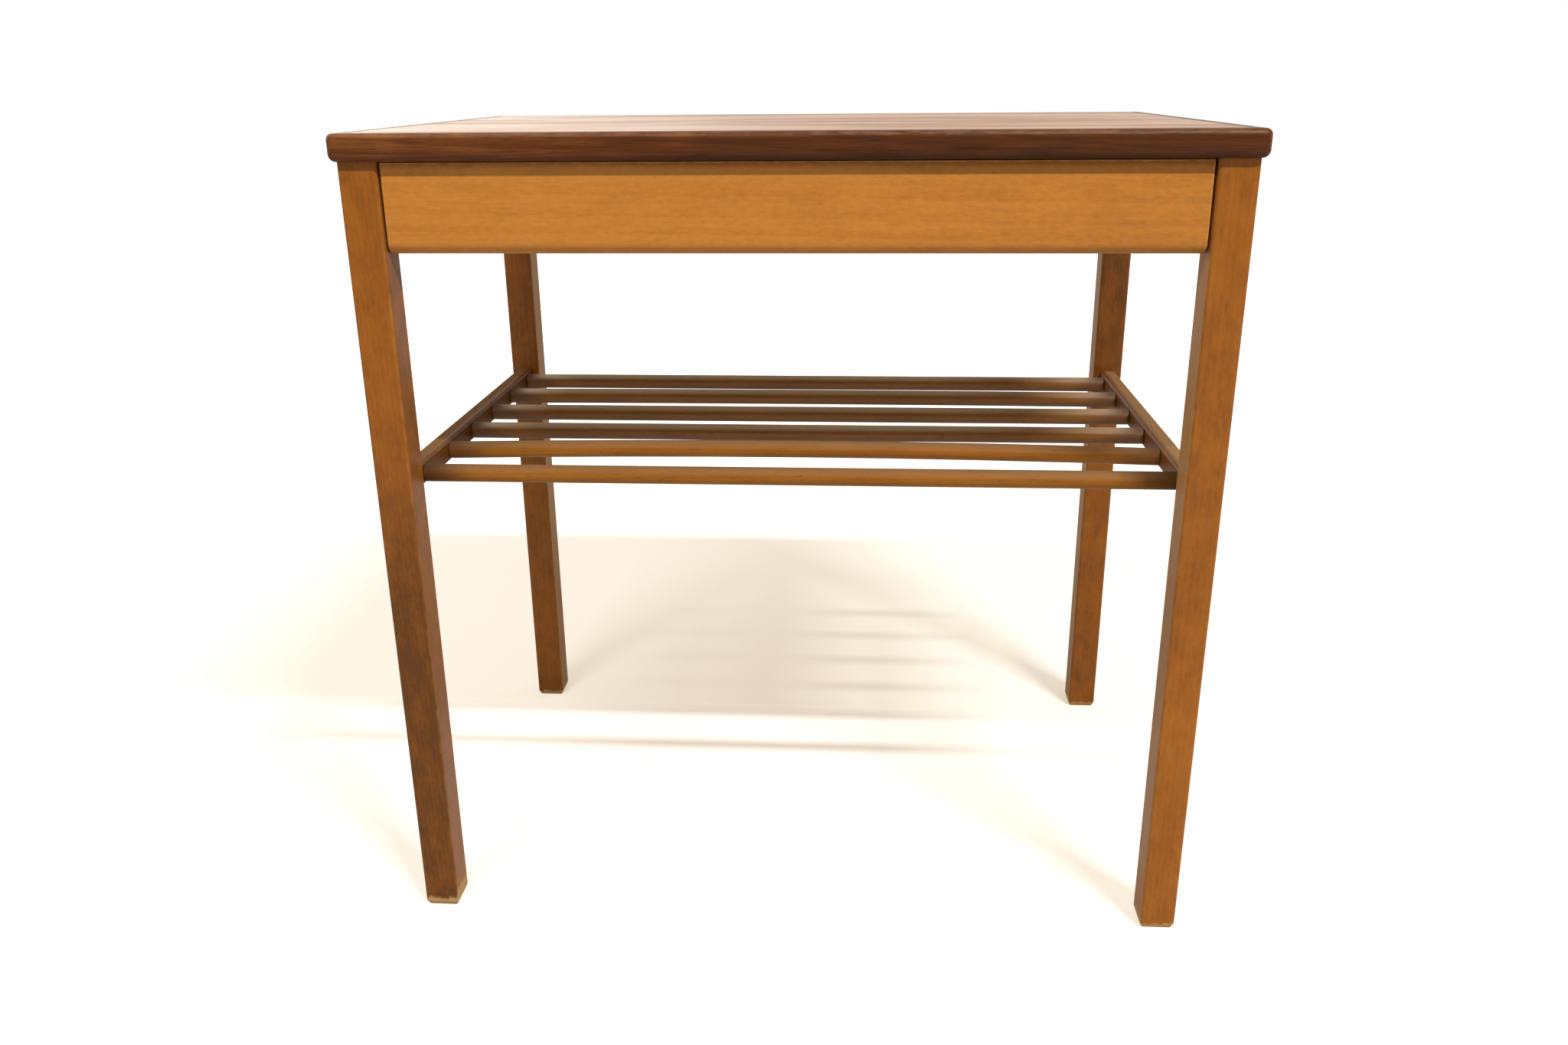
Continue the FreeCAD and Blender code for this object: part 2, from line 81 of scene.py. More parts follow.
# How far a direction has to point to a side for that side to start, and to count in full
towards_front = (0.1, -0.7)
towards_back = (-0.2, 0.6)
towards_sides = (0.45, 0.85)
towards_left = (-0.08, -0.32)
towards_ceiling = (0.3, 1.0)
ceiling_way = (0.0, -0.6, 0.8)

for number, place in enumerate(lamp_places):
    lamp = bpy.data.lights.new("ceiling_lamp_%d" % (number + 1), "AREA")
    lamp.shape = "RECTANGLE"
    lamp.size = lamp_length
    lamp.size_y = lamp_width
    lamp.energy = lamp_watts[number]
    lamp.color = lamp_colour
    lamp_object = bpy.data.objects.new(lamp.name, lamp)
    lamp_object.matrix_world = Matrix.Translation(place) @ Matrix.Rotation(lamp_tilt, 4, "X")
    scene.collection.objects.link(lamp_object)


class Shade:
    """A socket of the finish being made. Sums on it add Math nodes; node() adds any other."""

    tree = None

    def __init__(self, socket):
        self.socket = socket

    @classmethod
    def node(cls, kind, settings, sockets, output=0):
        made = cls.tree.nodes.new("ShaderNode" + kind)
        for setting, value in settings.items():
            if setting == "stops":
                ramp = made.color_ramp.elements
                for stop, (place, colour) in zip((ramp[0], ramp[1]), (value[0], value[-1])):
                    stop.position = place
                    stop.color = (*colour, 1.0)
                for place, colour in value[1:-1]:
                    ramp.new(place).color = (*colour, 1.0)
            else:
                setattr(made, setting, value)
        for name, value in sockets.items():
            if isinstance(value, Shade):
                cls.tree.links.new(value.socket, made.inputs[name])
            else:
                made.inputs[name].default_value = value
        return cls(made.outputs[output]) if made.outputs else None

    def part(self, output):
        """Another output of the same node."""
        return Shade(self.socket.node.outputs[output])

    def along(self, axis):
        """One part of a place, a direction or a colour: X to the right, Y to the back or Z up."""
        return Shade.node("SeparateXYZ", {}, {0: self}, output=axis)

    def maths(self, operation, *others):
        return Shade.node("Math", {"operation": operation}, dict(enumerate((self, *others))))

    def __add__(self, other):
        return self.maths("ADD", other)

    __radd__ = __add__

    def __mul__(self, other):
        return self.maths("MULTIPLY", other)

    __rmul__ = __mul__

    def __sub__(self, other):
        return self.maths("SUBTRACT", other)

    def __rsub__(self, other):
        return Shade.node("Math", {"operation": "SUBTRACT"}, {0: other, 1: self})

    def __truediv__(self, other):
        return self.maths("DIVIDE", other)


def slope(value, low, high):
    """0 at low, 1 at high and a straight slope between. Low may be the greater one."""
    return Shade.node("MapRange", {}, {0: value, 1: low, 2: high})


def blend(share, first, second):
    """The first colour where the share is 0 and the second where it is 1."""
    first = first if isinstance(first, Shade) else (*first, 1.0)
    second = second if isinstance(second, Shade) else (*second, 1.0)
    return Shade.node("Mix", {"data_type": "RGBA"}, {0: share, 6: first, 7: second}, output=2)


walls = bpy.data.worlds.new("white_walls")
walls.use_nodes = True
walls.node_tree.nodes.clear()
scene.world = walls
Shade.tree = walls.node_tree
ray = Shade.node("LightPath", {}, {})
seen_directly = ray.part("Is Camera Ray")
in_gloss = ray.part("Is Glossy Ray")
way = Shade.node("TexCoord", {}, {}, output="Generated")
way_up = Shade.node("VectorMath", {"operation": "DOT_PRODUCT"}, {0: way, 1: ceiling_way}, output="Value")
from_back = slope(way.along("Y"), *towards_back)
from_sides = slope(way.along("X").maths("ABSOLUTE"), *towards_sides)
from_left = slope(way.along("X"), *towards_left)
from_front = slope(way.along("Y"), *towards_front)
from_ceiling = slope(way_up, *towards_ceiling)
room = front_wall + from_back * (back_wall - front_wall) + from_back * from_left * left_wall_gain
room = room * (1.0 - from_sides * (1.0 - side_wall))
fill = wall_light + from_front * front_fill + from_back * back_fill
fill = fill + from_ceiling * ceiling_fill + from_sides * side_fill
wall_glow = Shade.node("Background", {}, {
    "Color": blend(seen_directly, wall_tint, white),
    "Strength": seen_directly + (1.0 - seen_directly) * (in_gloss * room + (1.0 - in_gloss) * fill),
})
Shade.node("OutputWorld", {}, {"Surface": wall_glow})


# The floor
# A plain pale floor that runs on out of sight. It is so brightly lit that only the table's
# shadows show on it, with painted shade, darker and warmer, in its glow under the table.
floor_reach = 15.0
floor_paint = (0.44, 0.45, 0.46)
floor_roughness = 0.9
floor_glow = (0.655, 0.566, 0.447)
# Painted shade: the floor's glow is darker and warmer under the table
under_table_painted_shade = (0.590, 0.494, 0.380)
under_centre = (0.0, 0.08, 0.0)
under_ends = (0.10, 0.42)
glow_whitens = (0.55, 1.60)
# The floor glows onto the table as painted bounce light, more in front of it
floor_painted_bounce = 0.20
front_painted_bounce = 0.10
front_floor = (-0.10, -0.45)


def start_finish(name):
    """An empty finish, which the nodes after this go into."""
    finish = bpy.data.materials.new(name)
    finish.use_nodes = True
    finish.node_tree.nodes.clear()
    Shade.tree = finish.node_tree
    return finish


def step(value, low, high):
    """0 at low, 1 at high and a smooth slope between. Low may be the greater one."""
    return Shade.node("MapRange", {"interpolation_type": "SMOOTHSTEP"}, {0: value, 1: low, 2: high})


floor_mesh = bpy.data.meshes.new("floor")
corners = [(-floor_reach, -floor_reach, 0.0), (floor_reach, -floor_reach, 0.0),
           (floor_reach, floor_reach, 0.0), (-floor_reach, floor_reach, 0.0)]
floor_mesh.from_pydata(corners, [], [(0, 1, 2, 3)])
floor = bpy.data.objects.new("floor", floor_mesh)
scene.collection.objects.link(floor)
floor_finish = start_finish("pale_floor")
place = Shade.node("TexCoord", {}, {}, output="Object")
from_middle = Shade.node("VectorMath", {"operation": "LENGTH"}, {0: place}, output="Value")
from_under = Shade.node("VectorMath", {"operation": "DISTANCE"}, {0: place, 1: under_centre},
                        output="Value")
glow = blend(step(from_under, *under_ends), under_table_painted_shade, floor_glow)
glow = blend(step(from_middle, *glow_whitens), glow, white)
seen_directly = Shade.node("LightPath", {}, {}, output="Is Camera Ray")
bounce = floor_painted_bounce + slope(place.along("Y"), *front_floor) * front_painted_bounce
floor_surface = Shade.node("BsdfPrincipled", {}, {
    "Base Color": (*floor_paint, 1.0),
    "Roughness": floor_roughness,
    "Specular IOR Level": 0.0,
    "Emission Color": glow,
    "Emission Strength": bounce + seen_directly * (1.0 - bounce),
})
Shade.node("OutputMaterial", {}, {"Surface": floor_surface})
floor_mesh.materials.append(floor_finish)


# The legs
# Four straight square sticks of beech, stained warm brown and lacquered. Their edges are eased
# and their feet chamfered, and years of being pushed about have worn the stain off there.
beech_ring = 0.0024
leg_hearts = {"front_left": (0.075, 0.045), "front_right": (-0.060, 0.070),
              "back_left": (0.050, -0.080), "back_right": (-0.085, -0.030)}
leg_leans = {"front_left": (0.020, 0.012), "front_right": (0.004, 0.006),
             "back_left": (0.010, 0.004), "back_right": (-0.008, 0.010)}
leg_stops = ((0.0, (0.080, 0.024, 0.0020)), (0.5, (0.200, 0.059, 0.0035)), (1.0, (0.295, 0.097, 0.0090)))
# Worn beech shows on worn edges and feet, and also serves as painted sheen on the legs' inner sides
worn_beech_and_sheen = (0.420, 0.250, 0.095)
amber_gloss = (1.0, 0.93, 0.74, 1.0)
leg_wear_width = 0.0012
past_joint = 0.05

# Each leg's tone at the foot and higher up, and the heights between which it changes
leg_tones = {"front_left": (-0.40, -0.04, 0.20, 0.36), "front_right": (0.16, 0.00, 0.12, 0.22),
             "back_left": (-0.12, -0.12, 0.20, 0.36), "back_right": (-0.06, -0.38, 0.20, 0.36)}

# Painted light and shade on each leg's inner side, lighter where the tone is above 0 and darker
# below it, and the share of painted sheen in the worn colour, below the shelf and above it
inner_side_painted_light = {"front_left": (-0.06, -0.14), "front_right": (0.14, 0.38),
               "back_left": (0.60, 0.60), "back_right": (0.30, 0.30)}
inner_side_painted_sheen = {"front_left": (0.07, 0.03), "front_right": (0.26, 0.42),
              "back_left": (0.52, 0.52), "back_right": (0.38, 0.38)}
inner_face = 0.2245
inner_face_ends = (inner_face + 0.0006, inner_face + 0.0001)
drawer_bottom_height = 0.430
below_drawer = (drawer_bottom_height + 0.002, drawer_bottom_height - 0.005)
past_shelf = (0.22, 0.32)

# The bare wood at the foot: its height, how much higher it is inside, and how bare it gets
foot_wear = {"front_left": 0.009, "front_right": 0.006, "back_left": 0.006, "back_right": 0.006}
higher_inside = 0.7
foot_wear_ends = (0.85, 0.45)
foot_wear_most = 0.75

# Spots in wood: their width across the grain as a share of their length, and spots per metre
drift_spots = (0.12, 22.0)
patch_spots = (0.25, 18.0)
strand_spots = (0.020, 260.0)
fibre_spots = (0.035, 1100.0)
grit_spots = (0.50, 420.0)
nibble_spots = (0.30, 420.0)

# A year's ring darkens slowly to its late wood, which ends at once
ring_drift = 1.4
ring_balance = 0.35
late_wood_comes = (0.35, 0.92)
late_wood_ends = (0.92, 1.0)
fleck_comes = (0.60, 0.72)
end_grain_comes = (0.80, 0.97)
end_grain_shade = 0.55
end_grain_most = 0.75
nibble_reach = 2.4
worn_through = 0.25
oil_comes = (0.25, 0.75)
oil_streaks = 0.8
oil_roughness = 0.30

# How much rougher each thing makes the lacquer, and how high it stands
strand_roughness = 0.16
fleck_roughness = 0.06
end_grain_roughness = 0.2
worn_roughness = 0.15
bare_roughness = 0.3
dust_roughness = 0.5
fibre_height = 0.5
fleck_hollow = 0.5
late_wood_hollow = 0.25
grain_relief = 0.00012
relief_strength = 0.6


def speckle(lay, spots, detail=2.0):
    """Noise between 0 and 1, drawn out along the grain."""
    across, down, length = lay
    stretch, per_metre = spots
    place = Shade.node("CombineXYZ", {}, {0: across, 1: down, 2: length * stretch})
    return Shade.node("TexNoise", {}, {"Vector": place, "Scale": per_metre, "Detail": detail})


def edge_distance(place, low, high):
    """How far a point of a box's surface is from the box's nearest edge."""
    gaps = []
    for number, axis in enumerate("XYZ"):
        coordinate = place.along(axis)
        gaps.append((coordinate - low[number]).maths("MINIMUM", high[number] - coordinate))
    nearer = gaps[0].maths("MINIMUM", gaps[1])
    further = gaps[0].maths("MAXIMUM", gaps[1])
    return nearer.maths("MAXIMUM", further.maths("MINIMUM", gaps[2]))


def wood(name, grain, heart, ring, stops, lean=(0.0, 0.0), swirl=0.004, ring_depth=0.22,
         fibre_depth=0.35, patch_depth=0.35, fleck_depth=0.25, fleck_spots=(0.10, 1500.0),
         mottle_depth=0.0, mottle_spots=(0.30, 110.0), grit_depth=0.0, shift=None,
         roughness=0.42, gloss=0.25, streaky_oil=0.0,
         worn_box=None, worn_width=0.0015, worn_and_painted_colour=worn_beech_and_sheen, worn_most=0.6,
         bare_and_painted=None, dust_and_painted_light=None):
    """Sawn wood: rings round a heart that leans from the grain, fibres, flecks and worn edges."""
    finish = start_finish(name)
    place = Shade.node("TexCoord", {}, {}, output="Object")
    lay = [place.along(axis) for axis in {"X": "YZX", "Y": "ZXY", "Z": "XYZ"}[grain]]
    across, down, length = lay
    drift = speckle(lay, drift_spots)
    wander = drift.part("Color")
    ring_across = across - heart[0] + length * lean[0] + (wander.along("X") - 0.5) * swirl
    ring_down = down - heart[1] + length * lean[1] + (wander.along("Y") - 0.5) * swirl
    radius = (ring_across * ring_across + ring_down * ring_down).maths("SQRT")
    season = (radius / ring + drift * ring_drift).maths("FRACT")
    late_wood = step(season, *late_wood_comes) * (1.0 - step(season, *late_wood_ends))
    fibre = speckle(lay, fibre_spots, 3.0)
    strand = speckle(lay, strand_spots, 3.0)
    patch = speckle(lay, patch_spots)
    flecks = step(speckle(lay, fleck_spots, 1.0), *fleck_comes)
    tone = (
        0.5 + ring_depth * ring_balance - late_wood * ring_depth
        + (fibre - 0.5) * fibre_depth
        + (strand - 0.5) * fibre_depth
        + (patch - 0.5) * patch_depth
        - flecks * fleck_depth
    )
    if mottle_depth:
        tone = tone + (speckle(lay, mottle_spots, 4.0) - 0.5) * mottle_depth
    if grit_depth:
        tone = tone + (speckle(lay, grit_spots, 3.0) - 0.5) * grit_depth
    if shift is not None:
        tone = tone + shift(place)
    colour = Shade.node("ValToRGB", {"stops": stops}, {"Fac": tone})
    facing = Shade.node("TexCoord", {}, {}, output="Normal")
    end_grain = step(facing.along(grain).maths("ABSOLUTE"), *end_grain_comes)
    end_colour = tuple(part * end_grain_shade for part in stops[1][1])
    colour = blend(end_grain * end_grain_most, colour, end_colour)
    sheen = roughness + (strand - 0.5) * strand_roughness + flecks * fleck_roughness
    sheen = sheen + end_grain * end_grain_roughness
    if worn_box is not None:
        nibbled = speckle(lay, nibble_spots, 3.0)
        distance = edge_distance(place, *worn_box) + (nibbled - 0.5) * worn_width * nibble_reach
        worn = (1.0 - step(distance, worn_width * worn_through, worn_width)) * worn_most
        colour = blend(worn, colour, worn_and_painted_colour)
        sheen = sheen + worn * worn_roughness
    # Worn bare wood, and on the legs' inner sides painted sheen, in the worn colour; on the rods, darker
    # ends at the rails
    if bare_and_painted is not None:
        bare_and_painted_share = bare_and_painted(place, strand)
        colour = blend(bare_and_painted_share, colour, worn_and_painted_colour)
        sheen = sheen + bare_and_painted_share * bare_roughness
    # Dust on faces turned up; on the rods this is painted shade on the front ones and painted sheen on the
    # back ones
    if dust_and_painted_light is not None:
        dust_and_paint_of, facing_up = dust_and_painted_light
        dust_and_paint_share, dust_and_paint_colour = dust_and_paint_of(place)
        settled_dust_and_paint = step(facing.along("Z"), *facing_up) * (0.5 + patch) * dust_and_paint_share
        colour = blend(settled_dust_and_paint, colour, dust_and_paint_colour)
        sheen = sheen + settled_dust_and_paint * dust_roughness
    height = fibre * fibre_height - flecks * fleck_hollow - late_wood * late_wood_hollow
    bump = Shade.node("Bump", {}, {"Strength": relief_strength, "Distance": grain_relief, "Height": height})
    sockets = {
        "Base Color": colour,
        "Roughness": sheen,
        "Specular IOR Level": gloss,
        "Specular Tint": amber_gloss,
        "Normal": bump,
    }
    if streaky_oil:
        sockets["Coat Weight"] = step(patch + (strand - 0.5) * oil_streaks, *oil_comes) * streaky_oil
        sockets["Coat Roughness"] = oil_roughness
    surface = Shade.node("BsdfPrincipled", {}, sockets)
    Shade.node("OutputMaterial", {}, {"Surface": surface})
    return finish


def dress(name, finish):
    """Gives a piece of the model its finish."""
    piece = nodes[name]
    piece.data.materials.clear()
    piece.data.materials.append(finish)


def grown(node, open_low=(0.0, 0.0, 0.0), open_high=(0.0, 0.0, 0.0)):
    """A piece's box, stretched past the ends that are hidden in a joint and so never wear."""
    low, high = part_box(node)
    return low - Vector(open_low), high + Vector(open_high)


def from_middle_out(place):
    """How far a point is from the table's middle plane, to either side."""
    return place.along("X").maths("ABSOLUTE")


def on_inner_side(place):
    """1 on the side of a leg that faces the table's middle, below the drawer, and 0 elsewhere."""
    return step(from_middle_out(place), *inner_face_ends) * step(place.along("Z"), *below_drawer)


def over_shelf(place, values):
    """The first value below the shelf and the second above it."""
    return values[0] + step(place.along("Z"), *past_shelf) * (values[1] - values[0])


def leg_tone(corner):
    """How much lighter or darker one leg is near its foot and higher up, with painted light and shade on
    its inner side.
    """
    foot_tone, upper_tone, lower_height, upper_height = leg_tones[corner]

    def shift(place):
        upwards = step(place.along("Z"), lower_height, upper_height)
        outer_tone = foot_tone + upwards * (upper_tone - foot_tone)
        return outer_tone + on_inner_side(place) * (over_shelf(place, inner_side_painted_light[corner]) - outer_tone)

    return shift


def leg_wear_and_sheen(corner):
    """Bare wood on the foot's chamfer, with a ragged upper edge, and painted sheen on the inner side."""
    def bare_and_painted(place, strand):
        reach = foot_wear[corner]
        inside = on_inner_side(place)
        height = place.along("Z") - inside * reach * higher_inside + (strand - 0.5) * reach
        foot = step(height, reach * foot_wear_ends[0], reach * foot_wear_ends[1]) * foot_wear_most
        return foot.maths("MAXIMUM", inside * over_shelf(place, inner_side_painted_sheen[corner]))

    return bare_and_painted


for corner, heart in leg_hearts.items():
    leg = "leg_" + corner
    low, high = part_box(leg)
    middle = (low + high) / 2
    dress(leg, wood(
        "stained_beech_" + leg, "Z", (middle.x + heart[0], middle.y + heart[1]), beech_ring, leg_stops,
        lean=leg_leans[corner], ring_depth=0.06, fibre_depth=0.12, fleck_depth=0.10, mottle_depth=0.60,
        mottle_spots=(0.60, 90.0), grit_depth=0.30, shift=leg_tone(corner), roughness=0.38, gloss=0.26,
        worn_box=grown(leg, open_high=(0.0, 0.0, past_joint)), worn_width=leg_wear_width,
        worn_most=0.15, bare_and_painted=leg_wear_and_sheen(corner)))


# The aprons
# Three beech boards set between the legs under the top, stained and lacquered like them. Each
# is glued and dowelled to the legs. There is none at the front, where the drawer goes in.
apron_stops = ((0.0, (0.080, 0.027, 0.006)), (0.5, (0.200, 0.072, 0.015)), (1.0, (0.300, 0.120, 0.030)))
for apron, grain, heart in (("apron_left", "Y", (0.38, -0.16)), ("apron_right", "Y", (0.52, 0.15)),
                            ("apron_back", "X", (0.28, 0.40))):
    dress(apron, wood("stained_beech_" + apron, grain, heart, beech_ring * 1.4, apron_stops,
                      lean=(0.010, 0.006), ring_depth=0.14, fibre_depth=0.20, fleck_depth=0.12,
                      mottle_depth=0.50, grit_depth=0.25, worn_box=grown(apron), worn_most=0.3))


# The shelf
# Two small beech rails are dowelled between the front and back legs, and six turned beech rods
# are tenoned and glued into them. All have the legs' stain. The rails have dust on top and
# painted shade on their inner faces, the front rods painted shade on top and painted light
# underneath, the back rods painted sheen on top and painted shade underneath, and the rods
# go darker towards the rails.
shelf_stops = ((0.0, (0.078, 0.026, 0.003)), (0.5, (0.180, 0.062, 0.006)), (1.0, (0.280, 0.105, 0.013)))
rail_dust = {"left": (0.120, 0.068, 0.028), "right": (0.200, 0.125, 0.058)}
rail_dust_most = 0.62
# Painted shade on each rail's inner face and along its rounded inner edge, deeper on the left
rail_inside_painted_shade = {"left": -0.50, "right": -0.20}
rail_edge_painted_shade = 0.50
rail_shine = {"left": 0.10, "right": 0.14}
rail_top = (0.40, 0.95)
rod_count = 6
front_rods = 2
rod_turn = 2.4
rod_heart_reach = 0.06
# Painted shade on the front rods' tops and painted sheen on the back rods' tops, with less sheen at the
# right end where the lamp lights them
front_rod_top_shade = (0.125, 0.074, 0.036)
front_rod_top = (0.20, 0.95)
back_rod_top_sheen = (0.520, 0.420, 0.290)
back_rod_top = (0.30, 0.98)
# Darker colours the rods go towards where they meet the rails
joint_dark_colour = (0.062, 0.032, 0.015)
joint_darkening = 0.60
rod_end_dark_colour = (0.085, 0.032, 0.008)
rod_end_dark_most = 0.55
ragged_edge = 0.016
right_end_less_sheen = (0.09, 0.18)

# The rods run free up to here, and the rails' painted shade and dust and the rods' darkening and painted
# top colour come and go at distances from it
rod_clear_reach = 0.2295
joint_stain_reach = 0.030
rail_edge_comes = (rod_clear_reach, rod_clear_reach + 0.0010)
rail_edge_ends = (rod_clear_reach + 0.0015, rod_clear_reach + 0.0060)
rail_dust_comes = (rod_clear_reach + 0.0010, rod_clear_reach + 0.0058)
rod_darkens = (rod_clear_reach - joint_stain_reach, rod_clear_reach)
rod_top_paint_darkens = (rod_clear_reach - joint_stain_reach * 0.6, rod_clear_reach - 0.002)
rod_end_dark_comes = (rod_clear_reach - 0.040, rod_clear_reach - 0.006)


def rail_tone(inner_tone):
    """Painted shade on the inner face, darkest along the rounded inner edge."""
    def shift(place):
        outwards = from_middle_out(place)
        onto_edge = step(outwards, *rail_edge_comes)
        past_edge = step(outwards, *rail_edge_ends)
        return inner_tone + onto_edge * (-rail_edge_painted_shade - inner_tone) + past_edge * rail_edge_painted_shade

    return shift


def rail_dust_of(side):
    """Dust on a rail's top, but none on its inner edge."""
    def dust_and_paint_of(place):
        return step(from_middle_out(place), *rail_dust_comes) * rail_dust_most, rail_dust[side]

    return dust_and_paint_of


def rod_tone(middle_tone, underside_painted_tone, middle_height):
    """A rod's own tone, another underneath as painted light on the front rods and painted shade on the back
    ones, and darker where it meets the rails.
    """
    def shift(place):
        at_joint = step(from_middle_out(place), *rod_darkens)
        painted_underside = step(place.along("Z"), middle_height + 0.0010, middle_height - 0.0045)
        return middle_tone + painted_underside * (underside_painted_tone - middle_tone) - at_joint * joint_darkening

    return shift


def darker_at_rails(place, strand):
    """Darker colour on the ends of the rods, with a ragged edge."""
    outwards = from_middle_out(place) + (strand - 0.5) * ragged_edge
    return step(outwards, *rod_end_dark_comes) * rod_end_dark_most


def rod_top_paint_of(colour, share, less_sheen_share):
    """Colour along a rod's top, painted shade on the front rods and painted sheen on the back ones, less of
    it on the right where the lamp lights the rods, that turns dark at the rails.
    """
    def dust_and_paint_of(place):
        at_joint = step(from_middle_out(place), *rod_top_paint_darkens)
        less_sheen = step(place.along("X"), *right_end_less_sheen) * less_sheen_share
        return share - less_sheen * share, blend(at_joint, colour, joint_dark_colour)

    return dust_and_paint_of


for side, heart in (("left", (0.235, -0.17)), ("right", (0.352, 0.19))):
    rail = "shelf_rail_" + side
    into_legs = (0.0, past_joint, 0.0)
    dress(rail, wood("stained_beech_" + rail, "Y", heart, beech_ring, shelf_stops,
                     lean=(0.012, -0.006), ring_depth=0.08, fibre_depth=0.25, mottle_depth=0.30,
                     shift=rail_tone(rail_inside_painted_shade[side]), roughness=0.50, gloss=rail_shine[side],
                     worn_box=grown(rail, into_legs, into_legs), worn_most=0.12,
                     dust_and_painted_light=(rail_dust_of(side), rail_top)))
for number in range(1, rod_count + 1):
    rod = "shelf_rod_%d" % number
    low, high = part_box(rod)
    middle = (low + high) / 2
    angle = number * rod_turn
    heart = (middle.y + rod_heart_reach * math.cos(angle), middle.z + rod_heart_reach * math.sin(angle))
    # Front rods: painted light underneath and painted shade on top; back rods: painted shade underneath and
    # painted sheen on top
    if number <= front_rods:
        look = {"gloss": 0.15, "roughness": 0.46, "shift": rod_tone(0.06, 0.28, middle.z),
                "dust_and_painted_light": (rod_top_paint_of(front_rod_top_shade, 0.70, 0.0), front_rod_top)}
    else:
        look = {"gloss": 0.36, "roughness": 0.40, "shift": rod_tone(-0.06, -0.42, middle.z),
                "dust_and_painted_light": (rod_top_paint_of(back_rod_top_sheen, 0.80, 0.6), back_rod_top)}
    dress(rod, wood("stained_beech_" + rod, "X", heart, beech_ring, shelf_stops,
                    lean=(0.010 * math.sin(angle), 0.008 * math.cos(angle)), ring_depth=0.08,
                    fibre_depth=0.20, mottle_depth=0.45, mottle_spots=(0.20, 110.0),
                    bare_and_painted=darker_at_rails, worn_and_painted_colour=rod_end_dark_colour, **look))


# The dowels
# Short plain pins of raw beech with bevelled ends, glued into bored holes, join the aprons and
# the rails to the legs. They are out of sight once the frame is together.
raw_beech_stops = ((0.0, (0.330, 0.190, 0.090)), (0.5, (0.560, 0.380, 0.210)), (1.0, (0.680, 0.500, 0.310)))
for dowels in ("frame_dowels", "shelf_dowels"):
    dress(dowels, wood("raw_beech_" + dowels, "X", (0.05, 0.05), beech_ring, raw_beech_stops,
                       roughness=0.62))


# The inner strips
# Plain planed beech: a strip behind the drawer front and one at the back apron hold the top,
# four blocks stiffen it, two runners carry the drawer and two small blocks stop it.
strip_stops = ((0.0, (0.300, 0.165, 0.075)), (0.5, (0.500, 0.320, 0.165)), (1.0, (0.610, 0.430, 0.250)))
worn_strip = (0.62, 0.45, 0.27)


def heart_beside(middle, grain, across, down):
    """A heart for a board's rings, so far from the board's own middle."""
    first, second = {"X": (middle.y, middle.z), "Y": (middle.z, middle.x)}[grain]
    return first + across, second + down


for strip, grain in (("front_top_strip", "X"), ("back_top_strip", "X"), ("glue_blocks", "Y"),
                     ("runner_left", "Y"), ("runner_right", "Y"), ("drawer_stops", "X")):
    low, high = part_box(strip)
    middle = (low + high) / 2
    dress(strip, wood("planed_beech_" + strip, grain, heart_beside(middle, grain, 0.05, 0.04), beech_ring,
                      strip_stops, roughness=0.60, worn_box=grown(strip), worn_and_painted_colour=worn_strip,
                      worn_most=0.25))


# The top's core
# A sheet of raw chipboard with a plain balancing veneer glued underneath. Only the veneer can
# be seen, from below or with the drawer out.
chip_ring = 0.004
backing_ring = 0.005
backing_stops = ((0.0, (0.170, 0.075, 0.030)), (0.5, (0.330, 0.170, 0.075)), (1.0, (0.450, 0.260, 0.130)))
dress("top_core", wood("chipboard", "Z", (0.9, 0.9), chip_ring, strip_stops, fleck_spots=(1.0, 500.0),
                       roughness=0.8))
dress("top_backing_veneer", wood("backing_veneer", "X", (0.10, 0.35), backing_ring, backing_stops,
                                 lean=(0.02, 0.01), roughness=0.6))


# The top
# Teak veneer laid on the core, framed by four mitred strips of solid teak whose upper edge is
# just broken and whose lower edge is well rounded. It is oiled, dry in places and a bit faded.
teak_ring = 0.0021
veneer_stops = ((0.0, (0.088, 0.031, 0.009)), (0.5, (0.225, 0.092, 0.028)), (1.0, (0.340, 0.165, 0.062)))
edge_stops = ((0.0, (0.026, 0.007, 0.0015)), (0.5, (0.065, 0.017, 0.0030)), (1.0, (0.150, 0.048, 0.0100)))
worn_teak = (0.190, 0.095, 0.045)
top_box = (Vector((-0.250, -0.1685, 0.430)), Vector((0.250, 0.1685, 0.495)))
left_end_tone = 0.08
right_darkening = 0.34
upper_edge_fading = 0.18
past_left_end = (-0.25, 0.02)
onto_upper_edge = (0.484, 0.4915)


def faded_left(place):
    """Lighter at the strip's left end, where more daylight has reached it, and at its upper edge."""
    from_left_end = step(place.along("X"), *past_left_end)
    from_underside = step(place.along("Z"), *onto_upper_edge)
    return left_end_tone - from_left_end * right_darkening + from_underside * upper_edge_fading


dress("top_face_veneer", wood(
    "teak_veneer", "X", (0.03, 0.66), teak_ring * 1.6, veneer_stops, lean=(0.05, 0.03), swirl=0.022,
    ring_depth=0.26, fibre_depth=0.55, patch_depth=0.50, fleck_spots=(0.06, 1300.0), mottle_depth=0.55,
    mottle_spots=(0.06, 60.0), roughness=0.46, gloss=0.36, streaky_oil=0.75))
for side, grain, heart in (("front", "X", (-0.06, 0.52)), ("back", "X", (0.30, 0.44)),
                           ("left", "Y", (0.40, -0.15)), ("right", "Y", (0.56, 0.14))):
    lipping = "top_lipping_" + side
    dress(lipping, wood(
        "teak_" + lipping, grain, heart, teak_ring, edge_stops, lean=(0.014, 0.020), swirl=0.008,
        ring_depth=0.12, fibre_depth=0.60, fleck_spots=(0.06, 1300.0), mottle_depth=0.50,
        mottle_spots=(0.50, 70.0), shift=faded_left if side == "front" else None, roughness=0.42,
        gloss=0.16, worn_box=top_box, worn_width=0.0022, worn_and_painted_colour=worn_teak, worn_most=0.32))


